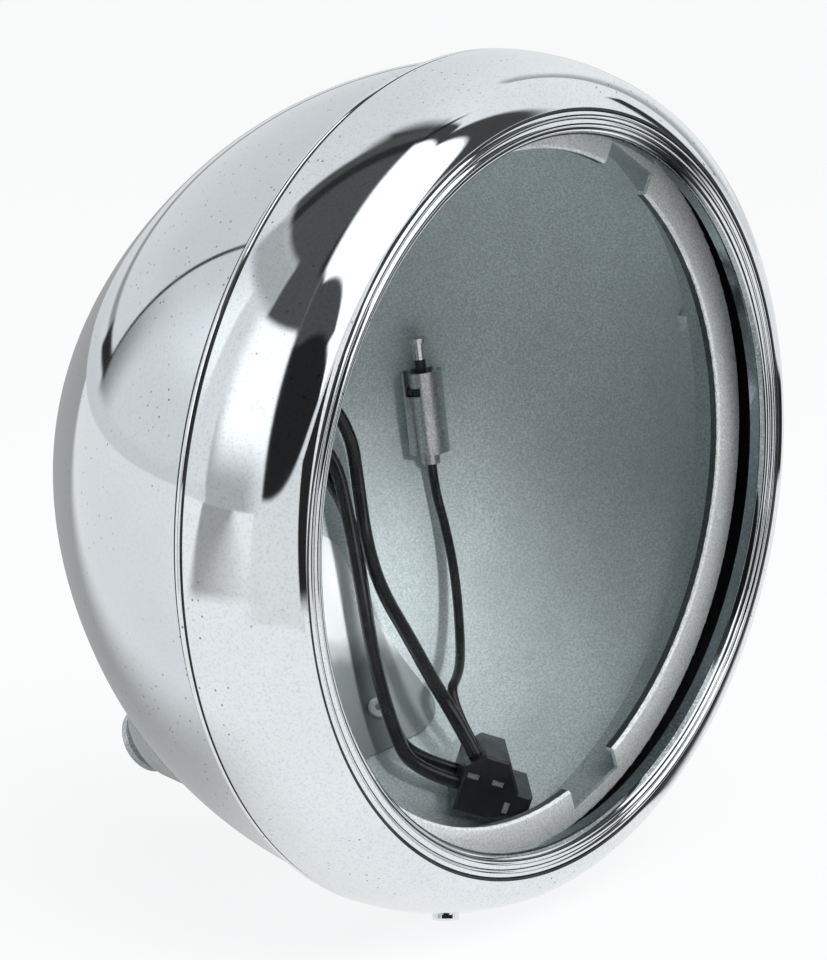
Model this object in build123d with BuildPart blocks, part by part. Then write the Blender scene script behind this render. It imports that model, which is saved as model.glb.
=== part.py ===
from build123d import *
import math
import os

# Motorcycle headlight shell for a seven-inch lamp, shown open, with its wiring inside.
# Millimetres. The origin is the centre of the mounting face, +Z is up, the lamp looks along -Y.
# Lamp coordinates are a clock angle seen from the front, a radius from the lamp's axis
# and a distance behind the seam between bowl and trim ring.

# Bowl: side arc, haunch arc and cap, each given by where its outward normal leans back to
bowl_radius = 98.5
bowl_wall = 1.2
entry_lean = 2.5
side_radius = 106.0
side_lean = 33.5
haunch_radius = 170.0
haunch_lean = 52.0
rim_flange = 9.5

# Trim ring: seam bead and groove over the bowl, side arc, shoulder arc, face beads and a rolled lip
trim_wall = 1.4
trim_fit = 0.35
seam_bead = 1.7
seam_groove = 0.8
seam_groove_depth = 0.45
trim_depth = 24.2
trim_side_radius = 45.0
trim_side_turn = 25.0
bead_count = 2
bead_width = 1.95
bead_height = 0.5
bead_groove = 0.4
lip_roll = 1.7
lip_return = 4.5

# Lamp ring, from the bowl's rim inwards: screw flange, drum, front face and a lip turned back
ring_wall = 1.0
ring_screw_inset = 5.8
ring_step = 4.7
ring_band = 9.5
ring_face = 13.0
ring_lip = 2.5
ring_edge = 3.6
ring_bend = 0.8
notch_width = 18.5
notch_depth = 5.0
notch_clocks = (28.0, 159.0, 273.5)

# Screws of the lamp ring, with their nuts behind the bowl's flange
ring_screw_count = 3
ring_screw_first = 192.0
ring_screw_radius = 2.0
ring_screw_head_radius = 3.1
ring_screw_head = 2.2
ring_screw_tail = 1.0
nut_across_flats = 7.0
nut_height = 3.2

# Trim clip on one of those screws, and the screw that draws the trim ring onto it
clip_wall = 1.0
clip_width = 12.0
clip_gap = 0.6
clip_reach = 4.0
clip_foot = 3.0
trim_screw_lean = 9.5
trim_screw_radius = 2.0
trim_screw_head_radius = 3.2
trim_screw_head = 1.5
trim_screw_tail = 0.8

# Mounting plate inside the bowl, with its tubular rivets
mount_lean = 43.0
plate_width = 86.0
plate_length = 61.0
plate_corner = 9.0
plate_wall = 1.5
rivet_half_pitch = 30.0
front_rivet_lean = 34.8
rear_rivet_lean = 47.0
rivet_radius = 2.0
rivet_head_radius = 2.9
rivet_head = 0.9
rivet_bore_radius = 1.2

# Pedestal along an axis raked like the fork it bolts to
mount_rake = 30.0
pedestal_reach = 37.5
neck_radius = 13.0
flange_radius = 22.7
flange_edge = 1.4
flange_below_face = 23.2
cone_tip_radius = 14.0
cone_below_face = 9.0
collar_radius = 8.8
collar_height = 2.6
waist_radius = 7.2
collar_round = 0.7
thread_radius = 4.25
thread_depth = 18.0

# Bolt that holds the pedestal through bowl and plate, on a washer and a saddle spacer
bolt_radius = 4.0
bolt_across_flats = 13.0
bolt_head = 5.3
bolt_engagement = 11.0
washer_radius = 7.4
washer_wall = 1.8
saddle_radius = 10.5
saddle_height = 8.0

# Grommet in the bowl's back
grommet_neck_radius = 9.0
grommet_flange_radius = 12.0
grommet_flange = 2.0
lead_circle = 4.4

# Leads
lead_diameter = 3.5
pilot_lead_diameter = 2.5

# Plug: side profile along its own axis, extruded across, with a sloped entry for two leads
plug_rear = 5.0
plug_shoulder = 5.0
plug_step = 9.5
plug_nose = 13.0
plug_top = 4.3
plug_step_height = -2.6
plug_nose_floor = -7.6
plug_heel = 3.8
plug_floor = -11.3
plug_thickness = 20.5
plug_entry_slope = 4.0
plug_edge = 0.6
plug_foot = 2.5
terminal_width = 2.8
terminal_height = 1.3
terminal_length = 9.0
terminal_places = ((-2.6, -1.6, 0), (3.7, -1.7, 0), (7.4, -7.0, 90))
terminal_sink = 0.3
entry_inset = 5.0

# Pilot lamp socket
barrel_radius = 5.25
barrel_wall = 0.6
barrel_length = 21.5
barrel_neck_radius = 2.4
barrel_neck = 3.0
slot_width = 2.2
slot_depth = 6.0
slot_hook = 2.4
plunger_radius = 1.5
plunger_disc = 1.4
plunger_sink = 4.5
plunger_rise = 3.0
contact_radius = 1.7
contact_length = 4.4
contact_disc_radius = 2.5
contact_disc = 1.2
spring_wire = 0.6
spring_turns = 4

# Clearances and edges
head_round = 0.6
seat_gap = 0.1
skin_gap = 0.05
slide_gap = 0.15


def lean(angle):
    """Direction in a side profile, angle degrees back from straight outwards."""
    return Vector(math.cos(math.radians(angle)), math.sin(math.radians(angle)))


side_centre = Vector(bowl_radius, 0) - side_radius * lean(entry_lean)
haunch_centre = side_centre + (side_radius - haunch_radius) * lean(side_lean)
haunch_end = haunch_centre + haunch_radius * lean(haunch_lean)
cap_radius = haunch_end.X / math.cos(math.radians(haunch_lean))
cap_centre = haunch_end - cap_radius * lean(haunch_lean)


def bowl_point(angle, depth=0.0):
    """Radius and distance behind the seam of the bowl's skin, depth under its outside."""
    if angle <= side_lean:
        return side_centre + (side_radius - depth) * lean(angle)
    if angle <= haunch_lean:
        return haunch_centre + (haunch_radius - depth) * lean(angle)
    return cap_centre + (cap_radius - depth) * lean(angle)


def cap_lean(radius, depth=0.0):
    """Lean of the cap's normal where it is radius away from the lamp's axis."""
    return math.degrees(math.acos(radius / (cap_radius - depth)))


def skin_lean(behind, depth=0.0):
    """Lean of the side arc's normal at a distance behind the seam."""
    return math.degrees(math.asin((behind - side_centre.Y) / (side_radius - depth)))


def draw_skin(depth, first, last):
    """Draws the bowl's profile, depth under its outside, from one lean to another."""
    stops = [first, side_lean, haunch_lean, last]
    for start, end in zip(stops, stops[1:]):
        middle = (start + end) / 2
        ThreePointArc(bowl_point(start, depth), bowl_point(middle, depth), bowl_point(end, depth))


# Mount axis, and the lamp's centre counted from the mounting face
rake = math.radians(mount_rake)
mount_axis = Vector(0, math.cos(rake), -math.sin(rake))
seat_profile = bowl_point(mount_lean)
seat_from_seam = Vector(0, seat_profile.Y, -seat_profile.X)
seam_centre = -(seat_from_seam + pedestal_reach * mount_axis)
seat = seam_centre + seat_from_seam
lamp_axis = Axis(seam_centre, (0, 1, 0))
side_plane = Plane(seam_centre)
front_plane = Plane(origin=seam_centre, x_dir=(1, 0, 0), z_dir=(0, -1, 0))
mount_plane = Plane(origin=(0, 0, 0), x_dir=(1, 0, 0), z_dir=mount_axis)
mount_section = Plane(origin=(0, 0, 0), x_dir=(1, 0, 0), z_dir=(0, math.sin(rake), math.cos(rake)))


def outward(clock):
    """Radial direction at a clock angle."""
    return Vector(math.sin(math.radians(clock)), 0, math.cos(math.radians(clock)))


def radial_plane(clock):
    """Plane whose x is the radius at a clock angle and whose y runs to the back."""
    z_dir = (-math.cos(math.radians(clock)), 0, math.sin(math.radians(clock)))
    return Plane(origin=seam_centre, x_dir=outward(clock), z_dir=z_dir)


def skin_plane(profile_point, angle, clock):
    """Plane on a revolved skin, facing out of it, from its profile point and lean."""
    direction = lean(angle)
    origin = seam_centre + profile_point.X * outward(clock) + Vector(0, profile_point.Y, 0)
    normal = direction.X * outward(clock) + Vector(0, direction.Y, 0)
    return Plane(origin=origin, x_dir=normal.cross(Vector(0, 1, 0)), z_dir=normal)


def draw_bowl_outline(depth):
    """Draws the closed outline that sweeps the whole space inside the bowl's skin at a depth."""
    rim_lean = skin_lean(0, depth)
    draw_skin(depth, rim_lean, 90)
    Polyline(bowl_point(90, depth), (0, 0), bowl_point(rim_lean, depth))


def rivet_clock(angle):
    """Clock angle, off the bottom, of the rivets that stand where the bowl leans by angle."""
    return math.degrees(math.asin(rivet_half_pitch / bowl_point(angle, bowl_wall).X))


rivet_planes = [
    skin_plane(bowl_point(angle), angle, 180 + side * rivet_clock(angle))
    for angle in (front_rivet_lean, rear_rivet_lean)
    for side in (-1, 1)
]
ring_screw_clocks = [ring_screw_first + 360 * i / ring_screw_count for i in range(ring_screw_count)]
rim_inner_radius = bowl_radius - rim_flange
ring_screw_circle = bowl_radius - ring_screw_inset

# Bowl
with BuildPart() as bowl:
    with BuildSketch(side_plane):
        with BuildLine():
            hole_outside = cap_lean(grommet_neck_radius + slide_gap)
            hole_inside = cap_lean(grommet_neck_radius + slide_gap, bowl_wall)
            rim_inside = skin_lean(bowl_wall, bowl_wall)
            draw_skin(0, entry_lean, hole_outside)
            Line(bowl_point(hole_outside), bowl_point(hole_inside, bowl_wall))
            draw_skin(bowl_wall, rim_inside, hole_inside)
            Polyline(
                bowl_point(rim_inside, bowl_wall),
                (rim_inner_radius, bowl_wall),
                (rim_inner_radius, 0),
                (bowl_radius, 0),
            )
        make_face()
    revolve(axis=lamp_axis)
    for plane in rivet_planes:
        with BuildSketch(plane):
            Circle(rivet_radius + slide_gap)
        extrude(amount=2 * bowl_wall, both=True, mode=Mode.SUBTRACT)
    with BuildSketch(mount_plane.offset(-pedestal_reach)):
        Circle(bolt_radius + slide_gap)
    extrude(amount=4 * bowl_wall, both=True, mode=Mode.SUBTRACT)
    with BuildSketch(front_plane):
        for clock in ring_screw_clocks:
            with PolarLocations(ring_screw_circle, 1, 90 - clock):
                Circle(ring_screw_radius + slide_gap)
    extrude(amount=2 * bowl_wall, both=True, mode=Mode.SUBTRACT)

# Trim ring
trim_inner_radius = bowl_radius + trim_fit
trim_radius = trim_inner_radius + trim_wall
turn_sine = math.sin(math.radians(trim_side_turn))
shoulder_radius = (trim_depth - trim_side_radius * turn_sine) / (1 - turn_sine)
trim_centre = Vector(trim_radius - trim_side_radius, 0)
shoulder_centre = trim_centre + (trim_side_radius - shoulder_radius) * lean(-trim_side_turn)
lip_radius = shoulder_centre.X - bead_count * bead_width - lip_roll


def trim_side(angle, depth=0.0):
    """Profile point on the trim ring's side arc, turned forward by angle, depth under it."""
    return trim_centre + (trim_side_radius - depth) * lean(-angle)


def trim_shoulder(angle, depth=0.0):
    """Profile point on the trim ring's shoulder arc."""
    return shoulder_centre + (shoulder_radius - depth) * lean(-angle)


def draw_trim_arcs(depth):
    """Draws the side and shoulder arcs of the trim ring at a depth."""
    half_side = trim_side_turn / 2
    half_shoulder = (trim_side_turn + 90) / 2
    ThreePointArc(trim_side(0, depth), trim_side(half_side, depth), trim_side(trim_side_turn, depth))
    ThreePointArc(
        trim_shoulder(trim_side_turn, depth), trim_shoulder(half_shoulder, depth), trim_shoulder(90, depth)
    )


screw_point = trim_side(trim_screw_lean)
trim_screw_plane = skin_plane(screw_point, -trim_screw_lean, ring_screw_first)

with BuildPart() as trim_ring:
    with BuildSketch(side_plane):
        with BuildLine():
            draw_trim_arcs(0)
            bead_level = bead_groove - trim_depth
            Line(trim_shoulder(90), (shoulder_centre.X, bead_level))
            for i in range(bead_count):
                start = shoulder_centre.X - i * bead_width
                ThreePointArc(
                    (start, bead_level),
                    (start - bead_width / 2, bead_level - bead_height),
                    (start - bead_width, bead_level),
                )
            roll_centre = Vector(lip_radius + lip_roll, bead_level + lip_roll)
            ThreePointArc(
                roll_centre + lip_roll * lean(-90),
                roll_centre + lip_roll * lean(-135),
                roll_centre + lip_roll * lean(-180),
            )
            Polyline(
                (lip_radius, bead_level + lip_roll),
                (lip_radius, lip_return - trim_depth),
                (lip_radius + trim_wall, lip_return - trim_depth),
                (lip_radius + trim_wall, trim_wall - trim_depth),
                trim_shoulder(90, trim_wall),
            )
            draw_trim_arcs(trim_wall)
            groove_radius = trim_radius - seam_groove_depth
            seam_edge = seam_groove + seam_bead
            Polyline((trim_inner_radius, 0), (trim_inner_radius, seam_edge), (groove_radius, seam_edge))
            ThreePointArc(
                (groove_radius, seam_edge),
                (trim_radius, seam_groove + seam_bead / 2),
                (groove_radius, seam_groove),
            )
            Line((groove_radius, seam_groove), (trim_radius, 0))
        make_face()
    revolve(axis=lamp_axis)
    with BuildSketch(trim_screw_plane):
        Circle(trim_screw_radius + slide_gap)
    extrude(amount=2 * trim_wall, both=True, mode=Mode.SUBTRACT)

# Lamp ring
ring_flange_radius = ring_screw_circle + ring_edge
ring_drum_radius = ring_screw_circle - ring_step
ring_inner_radius = ring_drum_radius - ring_band
with BuildPart() as lamp_ring:
    with BuildSketch(side_plane):
        with BuildLine():
            Polyline(
                (ring_flange_radius, 0),
                (ring_drum_radius - ring_wall, 0),
                (ring_drum_radius - ring_wall, ring_wall - ring_face),
                (ring_inner_radius + ring_wall, ring_wall - ring_face),
                (ring_inner_radius + ring_wall, ring_lip - ring_face),
                (ring_inner_radius, ring_lip - ring_face),
                (ring_inner_radius, -ring_face),
                (ring_drum_radius, -ring_face),
                (ring_drum_radius, -ring_wall),
                (ring_flange_radius, -ring_wall),
                close=True,
            )
        face = make_face()
        fillet(face.vertices().group_by(Axis.Y)[0], ring_bend)
    revolve(axis=lamp_axis)
    with BuildSketch(front_plane.offset(ring_face - ring_lip - ring_wall)):
        for clock in notch_clocks:
            with PolarLocations(ring_inner_radius, 1, 90 - clock):
                Rectangle(2 * notch_depth, notch_width)
    extrude(amount=ring_lip + 2 * ring_wall, mode=Mode.SUBTRACT)
    with BuildSketch(front_plane):
        for clock in ring_screw_clocks:
            with PolarLocations(ring_screw_circle, 1, 90 - clock):
                Circle(ring_screw_radius + slide_gap)
    extrude(amount=2 * ring_wall, both=True, mode=Mode.SUBTRACT)

# Trim clip: a bent strip, its foot under one ring screw, its leg square to the trim screw
clip_front = -ring_wall - clip_wall
leg_normal = lean(-trim_screw_lean)
leg_forward = lean(-trim_screw_lean - 90)
leg_outside = trim_side(trim_screw_lean, trim_wall + clip_gap)
leg_tip = leg_outside + clip_reach * leg_forward


def along_leg(point, behind):
    """Slides a profile point along the clip's leg to a distance behind the seam."""
    return point + (behind - point.Y) / leg_forward.Y * leg_forward


with BuildPart() as trim_clip:
    with BuildSketch(radial_plane(ring_screw_first)):
        with BuildLine():
            Polyline(
                leg_tip,
                along_leg(leg_tip, -ring_wall),
                (ring_screw_circle - clip_foot, -ring_wall),
                (ring_screw_circle - clip_foot, clip_front),
                along_leg(leg_tip - clip_wall * leg_normal, clip_front),
                leg_tip - clip_wall * leg_normal,
                close=True,
            )
        make_face()
    extrude(amount=clip_width / 2, both=True)
    with BuildSketch(front_plane.offset(ring_wall)):
        with PolarLocations(ring_screw_circle, 1, 90 - ring_screw_first):
            Circle(ring_screw_radius + slide_gap)
    extrude(amount=clip_wall, mode=Mode.SUBTRACT)
    with BuildSketch(trim_screw_plane.offset(-trim_wall - clip_gap)):
        Circle(trim_screw_radius + slide_gap)
    extrude(amount=-2 * clip_wall, mode=Mode.SUBTRACT)


def build_screw(plane, head_radius, head, shank_radius, shank):
    """Pan-head screw with its head standing out of a plane and its shank going into it."""
    with BuildPart() as screw:
        with BuildSketch(plane):
            Circle(head_radius)
        extrude(amount=head)
        fillet(screw.edges().sort_by(Axis(plane.origin, plane.z_dir))[-1], head_round)
        with BuildSketch(plane):
            Circle(shank_radius)
        extrude(amount=-shank)
    return screw.part


# Trim screw
with BuildPart() as trim_screw:
    trim_screw_length = seat_gap + trim_wall + clip_gap + clip_wall + trim_screw_tail
    add(
        build_screw(
            trim_screw_plane.offset(seat_gap),
            trim_screw_head_radius,
            trim_screw_head,
            trim_screw_radius,
            trim_screw_length,
        )
    )

# Ring screws and nuts: the first screw also clamps the trim clip's foot
with BuildPart() as ring_screws:
    for clock in ring_screw_clocks:
        under_head = ring_wall + (clip_wall if clock == ring_screw_first else 0)
        screw_plane = Plane(
            origin=seam_centre + ring_screw_circle * outward(clock) - Vector(0, under_head, 0),
            x_dir=outward(clock),
            z_dir=(0, -1, 0),
        )
        ring_screw_length = under_head + bowl_wall + nut_height + ring_screw_tail
        add(
            build_screw(
                screw_plane, ring_screw_head_radius, ring_screw_head, ring_screw_radius, ring_screw_length
            )
        )

with BuildPart() as ring_nuts:
    with BuildSketch(front_plane.offset(-bowl_wall)):
        for clock in ring_screw_clocks:
            with PolarLocations(ring_screw_circle, 1, 90 - clock):
                RegularPolygon(nut_across_flats / 2, 6, major_radius=False, rotation=30)
                Circle(ring_screw_radius + slide_gap, mode=Mode.SUBTRACT)
    extrude(amount=-nut_height)

# Mounting plate: a patch of the bowl's inside, trimmed to a rounded rectangle
plate_plane = Plane(
    origin=seat,
    x_dir=(1, 0, 0),
    z_dir=(0, math.sin(math.radians(mount_lean)), -math.cos(math.radians(mount_lean))),
)
plate_outside = bowl_wall + skin_gap
plate_inside = plate_outside + plate_wall
with BuildPart() as mount_plate:
    with BuildSketch(side_plane):
        with BuildLine():
            hole_outside = cap_lean(grommet_neck_radius, plate_outside)
            hole_inside = cap_lean(grommet_neck_radius, plate_inside)
            draw_skin(plate_outside, entry_lean, hole_outside)
            Line(bowl_point(hole_outside, plate_outside), bowl_point(hole_inside, plate_inside))
            draw_skin(plate_inside, entry_lean, hole_inside)
            Line(bowl_point(entry_lean, plate_inside), bowl_point(entry_lean, plate_outside))
        make_face()
    revolve(axis=lamp_axis)
    with BuildSketch(plate_plane):
        RectangleRounded(plate_width, plate_length, plate_corner)
    extrude(amount=bowl_radius / 2, both=True, mode=Mode.INTERSECT)
    for plane in rivet_planes:
        with BuildSketch(plane):
            Circle(rivet_radius + slide_gap)
        extrude(amount=-2 * plate_inside, mode=Mode.SUBTRACT)
    with BuildSketch(mount_plane.offset(-pedestal_reach)):
        Circle(bolt_radius + slide_gap)
    extrude(amount=-4 * plate_inside, mode=Mode.SUBTRACT)

# Tubular rivets: one flange on the bowl's outside, the rolled end on the plate
with BuildPart() as plate_rivets:
    for plane in rivet_planes:
        inner_seat = plane.offset(-plate_inside - seat_gap)
        with BuildSketch(plane.offset(seat_gap)):
            Circle(rivet_head_radius)
        extrude(amount=rivet_head)
        with BuildSketch(inner_seat):
            Circle(rivet_head_radius)
        extrude(amount=-rivet_head)
        with BuildSketch(plane.offset(seat_gap)):
            Circle(rivet_radius)
        extrude(amount=-plate_inside - 2 * seat_gap)
        with BuildSketch(inner_seat.offset(-rivet_head)):
            Circle(rivet_bore_radius)
        extrude(amount=plate_inside, mode=Mode.SUBTRACT)

# Pedestal: neck saddled to the bowl, flange, cone, waist and end collar with a tapped hole
with BuildPart() as pedestal:
    with BuildSketch(mount_section):
        with BuildLine():
            Polyline(
                (0, 0),
                (collar_radius - collar_round, 0),
                (collar_radius, -collar_round),
                (collar_radius, -collar_height),
                (waist_radius, -collar_height - collar_round),
                (waist_radius, -cone_below_face),
                (cone_tip_radius - collar_round, -cone_below_face),
                (cone_tip_radius, -cone_below_face - collar_round),
                (flange_radius, -flange_below_face),
                (flange_radius, -flange_below_face - flange_edge),
                (neck_radius, -flange_below_face - flange_edge - collar_round),
                (neck_radius, -pedestal_reach - neck_radius),
                (0, -pedestal_reach - neck_radius),
                close=True,
            )
        make_face()
    revolve(axis=Axis((0, 0, 0), mount_axis))
    with BuildSketch(side_plane):
        with BuildLine():
            draw_bowl_outline(-skin_gap)
        make_face()
    revolve(axis=lamp_axis, mode=Mode.SUBTRACT)
    with BuildSketch(mount_plane):
        Circle(thread_radius)
    extrude(amount=-thread_depth, mode=Mode.SUBTRACT)
    with BuildSketch(mount_plane.offset(-pedestal_reach - neck_radius)):
        Circle(bolt_radius + slide_gap)
    extrude(amount=neck_radius + bolt_engagement + slide_gap, mode=Mode.SUBTRACT)

# Saddle spacer, lock washer and bolt inside the bowl
saddle_face = mount_plane.offset(-pedestal_reach - saddle_height)
with BuildPart() as saddle_spacer:
    with BuildSketch(saddle_face):
        Circle(saddle_radius)
        Circle(bolt_radius + slide_gap, mode=Mode.SUBTRACT)
    extrude(amount=saddle_height + saddle_radius)
    with BuildSketch(side_plane):
        with BuildLine():
            draw_bowl_outline(plate_inside + skin_gap)
        make_face()
    revolve(axis=lamp_axis, mode=Mode.INTERSECT)

with BuildPart() as lock_washer:
    with BuildSketch(saddle_face):
        Circle(washer_radius)
        Circle(bolt_radius + slide_gap, mode=Mode.SUBTRACT)
        with Locations((washer_radius, 0)):
            Rectangle(2 * (washer_radius - bolt_radius), washer_wall, mode=Mode.SUBTRACT)
    extrude(amount=-washer_wall)

with BuildPart() as mount_bolt:
    with BuildSketch(saddle_face.offset(-washer_wall)):
        RegularPolygon(bolt_across_flats / 2, 6, major_radius=False)
    extrude(amount=-bolt_head)
    with BuildSketch(saddle_face.offset(-washer_wall)):
        Circle(bolt_radius)
    extrude(amount=washer_wall + saddle_height + bolt_engagement)

# Grommet: neck in the bowl's back, a flange each side, one hole for each lead
cap_outside = bowl_point(cap_lean(grommet_neck_radius)).Y + seat_gap
cap_inside = bowl_point(cap_lean(grommet_flange_radius, bowl_wall), bowl_wall).Y - seat_gap
grommet_back = cap_outside + grommet_flange
grommet_front = cap_inside - grommet_flange
lead_clocks = {"low_beam": 45.0, "high_beam": 165.0, "ground": 285.0}
with BuildPart() as grommet:
    with BuildSketch(side_plane):
        with BuildLine():
            Polyline(
                (0, grommet_front),
                (grommet_flange_radius - grommet_flange / 2, grommet_front),
                (grommet_flange_radius, grommet_front + grommet_flange / 2),
                (grommet_flange_radius, cap_inside),
                (grommet_neck_radius, cap_inside),
                (grommet_neck_radius, cap_outside),
                (grommet_flange_radius, cap_outside),
                (grommet_flange_radius, grommet_back - grommet_flange / 2),
                (grommet_flange_radius - grommet_flange / 2, grommet_back),
                (0, grommet_back),
                close=True,
            )
        make_face()
    revolve(axis=lamp_axis)
    with BuildSketch(front_plane.offset(-grommet_back)):
        for clock in lead_clocks.values():
            with PolarLocations(lead_circle, 1, 90 - clock):
                Circle(lead_diameter / 2 + slide_gap)
    extrude(amount=grommet_back - grommet_front, mode=Mode.SUBTRACT)

# Plug: its own plane has x along the plug, y up through it and z out of its near side
plug_origin = seam_centre + Vector(17.2, 11.1, -76.1)
plug_plane = Plane(origin=plug_origin, x_dir=(0.642, -0.707, -0.296), z_dir=(-0.742, -0.668, -0.006))
terminal_seats = [Location((along, height, 0), (0, 0, turn)) for along, height, turn in terminal_places]
with BuildPart() as plug:
    with BuildSketch(plug_plane):
        with BuildLine():
            Polyline(
                (-plug_rear, plug_floor),
                (plug_heel, plug_floor),
                (plug_nose, plug_nose_floor),
                (plug_nose, plug_step_height),
                (plug_step, plug_step_height),
                (plug_shoulder, plug_top),
                (plug_entry_slope - plug_rear, plug_top),
                (-plug_rear, plug_top - plug_entry_slope),
                close=True,
            )
        make_face()
    extrude(amount=-plug_thickness)
    far_face, *_, near_face = plug.faces().sort_by(Axis(plug_origin, plug_plane.z_dir))
    chamfer(far_face.edges().sort_by(Axis(plug_origin, plug_plane.y_dir))[:2], plug_foot)
    chamfer(near_face.edges(), plug_edge)
    with BuildSketch(plug_plane):
        with Locations(*terminal_seats):
            Rectangle(terminal_width + 2 * slide_gap, terminal_height + 2 * slide_gap)
    extrude(amount=-terminal_sink - terminal_length, mode=Mode.SUBTRACT)

with BuildPart() as plug_terminals:
    with BuildSketch(plug_plane.offset(-terminal_sink)):
        with Locations(*terminal_seats):
            Rectangle(terminal_width, terminal_height)
    extrude(amount=-terminal_length)

# Pilot lamp socket, upright beside the bowl's wall, with a bayonet slot each side of its mouth
pilot_base = seam_centre + Vector(61.5, 65.5, -10.0)
pilot_plane = Plane(origin=pilot_base, x_dir=(-0.98, 0.19, 0), z_dir=(-0.08, 0.095, 1))
pilot_mouth = pilot_plane.offset(barrel_length)
barrel_bore = barrel_radius - barrel_wall
with BuildPart() as pilot_barrel:
    with BuildSketch(pilot_plane):
        Circle(barrel_radius)
    extrude(amount=barrel_length)
    with BuildSketch(pilot_plane):
        Circle(barrel_neck_radius)
    extrude(amount=-barrel_neck)
    with BuildSketch(pilot_plane.offset(barrel_wall)):
        Circle(barrel_bore)
    extrude(amount=barrel_length, mode=Mode.SUBTRACT)
    for side in (1, -1):
        slot_plane = Plane(
            origin=pilot_mouth.origin, x_dir=side * pilot_plane.y_dir, z_dir=side * pilot_plane.x_dir
        )
        with BuildSketch(slot_plane):
            with Locations((0, -slot_depth / 2)):
                Rectangle(slot_width, slot_depth)
            with Locations((slot_hook / 2, slot_width / 2 - slot_depth)):
                Rectangle(slot_width + slot_hook, slot_width)
        extrude(amount=2 * barrel_radius, mode=Mode.SUBTRACT)

# Plunger: insulated stem with a disc that slides in the barrel
with BuildPart() as pilot_plunger:
    with BuildSketch(pilot_plane.offset(barrel_wall)):
        Circle(plunger_radius)
    extrude(amount=barrel_length - barrel_wall + plunger_rise)
    with BuildSketch(pilot_mouth.offset(-plunger_sink)):
        Circle(barrel_bore - slide_gap)
    extrude(amount=-plunger_disc)

with BuildPart() as pilot_contact:
    with BuildSketch(pilot_mouth.offset(plunger_rise)):
        Circle(contact_radius)
    extrude(amount=contact_length)
    with BuildSketch(pilot_mouth.offset(plunger_rise + contact_length)):
        Circle(contact_disc_radius)
    extrude(amount=contact_disc)

# Spring that presses the plunger towards the mouth
spring_seat = barrel_wall + spring_wire / 2 + seat_gap
spring_height = barrel_length - plunger_sink - plunger_disc - spring_seat - spring_wire / 2 - seat_gap
spring_radius = (barrel_bore + plunger_radius) / 2
with BuildPart() as pilot_spring:
    with BuildLine(pilot_plane.offset(spring_seat)) as coil:
        Helix(spring_height / spring_turns, spring_height, spring_radius, direction=pilot_plane.z_dir)
    with BuildSketch(Plane(origin=coil.line @ 0, z_dir=coil.line % 0)):
        Circle(spring_wire / 2)
    sweep(path=coil.line, is_frenet=True)


def in_lamp(*points):
    """Points counted from the lamp's centre, moved into the part's frame."""
    return [seam_centre + Vector(point) for point in points]


def from_grommet(name, behind):
    """First two points of a lead: flush with the grommet's back, then straight out of its front."""
    hole = lead_circle * outward(lead_clocks[name])
    return in_lamp(hole + Vector(0, grommet_back, 0), hole + Vector(0, behind, 0))


def into_plug(along, height, across, normal, straight):
    """Last two points of a lead, which ends square on one of the plug's faces."""
    end = plug_plane.from_local_coords((along, height, across))
    return [end + straight * normal, end]


def build_lead(name, points, diameter):
    """Plain tube along straight runs joined by arcs as large as the runs allow."""
    radii = []
    for before, here, after in zip(points, points[1:], points[2:]):
        arriving = here - before
        leaving = after - here
        half_turn = math.radians(arriving.get_angle(leaving)) / 2
        radii.append(0.45 * min(arriving.length, leaving.length) / math.tan(half_turn))
    with BuildPart() as lead:
        with BuildLine() as route:
            FilletPolyline(*points, radius=radii)
        with BuildSketch(Plane(origin=points[0], z_dir=points[1] - points[0])):
            Circle(diameter / 2)
        sweep(path=route.wires()[0])
    length = route.wires()[0].length
    length_by_volume = lead.part.volume / (math.pi * diameter**2 / 4)
    print(name, "radii", [round(radius, 1) for radius in radii])
    print(name, "length", round(length, 1), "by volume", round(length_by_volume, 1))
    return lead.part


slope_normal = (plug_plane.y_dir - plug_plane.x_dir) / math.sqrt(2)
slope_along = plug_entry_slope / 2 - plug_rear
slope_height = plug_top - plug_entry_slope / 2
rear_normal = -plug_plane.x_dir
rear_height = (plug_top - plug_entry_slope + plug_floor) / 2
near_row = -entry_inset
far_row = entry_inset - plug_thickness

with BuildPart() as low_beam_lead:
    low_beam_route = [
        *from_grommet("low_beam", 95),
        *in_lamp((22, 88, 10), (36, 81, 8), (42, 76, -3.6), (42.5, 74, -16), (40.5, 69.4, -30.7)),
        *in_lamp((34.5, 59.5, -40.6), (27, 44, -49), (20, 30, -57)),
        *into_plug(slope_along, slope_height, near_row, slope_normal, 12),
    ]
    add(build_lead("low beam lead", low_beam_route, lead_diameter))

with BuildPart() as high_beam_lead:
    high_beam_route = [
        *from_grommet("high_beam", 97),
        *in_lamp((16, 91, -2.5), (31, 84, -0.5), (36.7, 76.7, -9.3), (36, 71.3, -25.1)),
        *in_lamp((32.6, 64.6, -38.9), (27.5, 57, -51.8), (21.5, 48.5, -61), (14.5, 38, -69.5)),
        *into_plug(-plug_rear, rear_height, near_row, rear_normal, 12),
    ]
    add(build_lead("high beam lead", high_beam_route, lead_diameter))

with BuildPart() as ground_lead:
    ground_route = [
        *from_grommet("ground", 93),
        *in_lamp((12, 87, -1), (28, 84, -6), (38.5, 80, -15), (42, 75, -28), (38.5, 69, -41.5)),
        *in_lamp((33, 61.5, -53.5), (26.5, 52.5, -63), (20, 43, -71)),
        *into_plug(-plug_rear, rear_height, far_row, rear_normal, 12),
    ]
    add(build_lead("ground lead", ground_route, lead_diameter))

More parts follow.
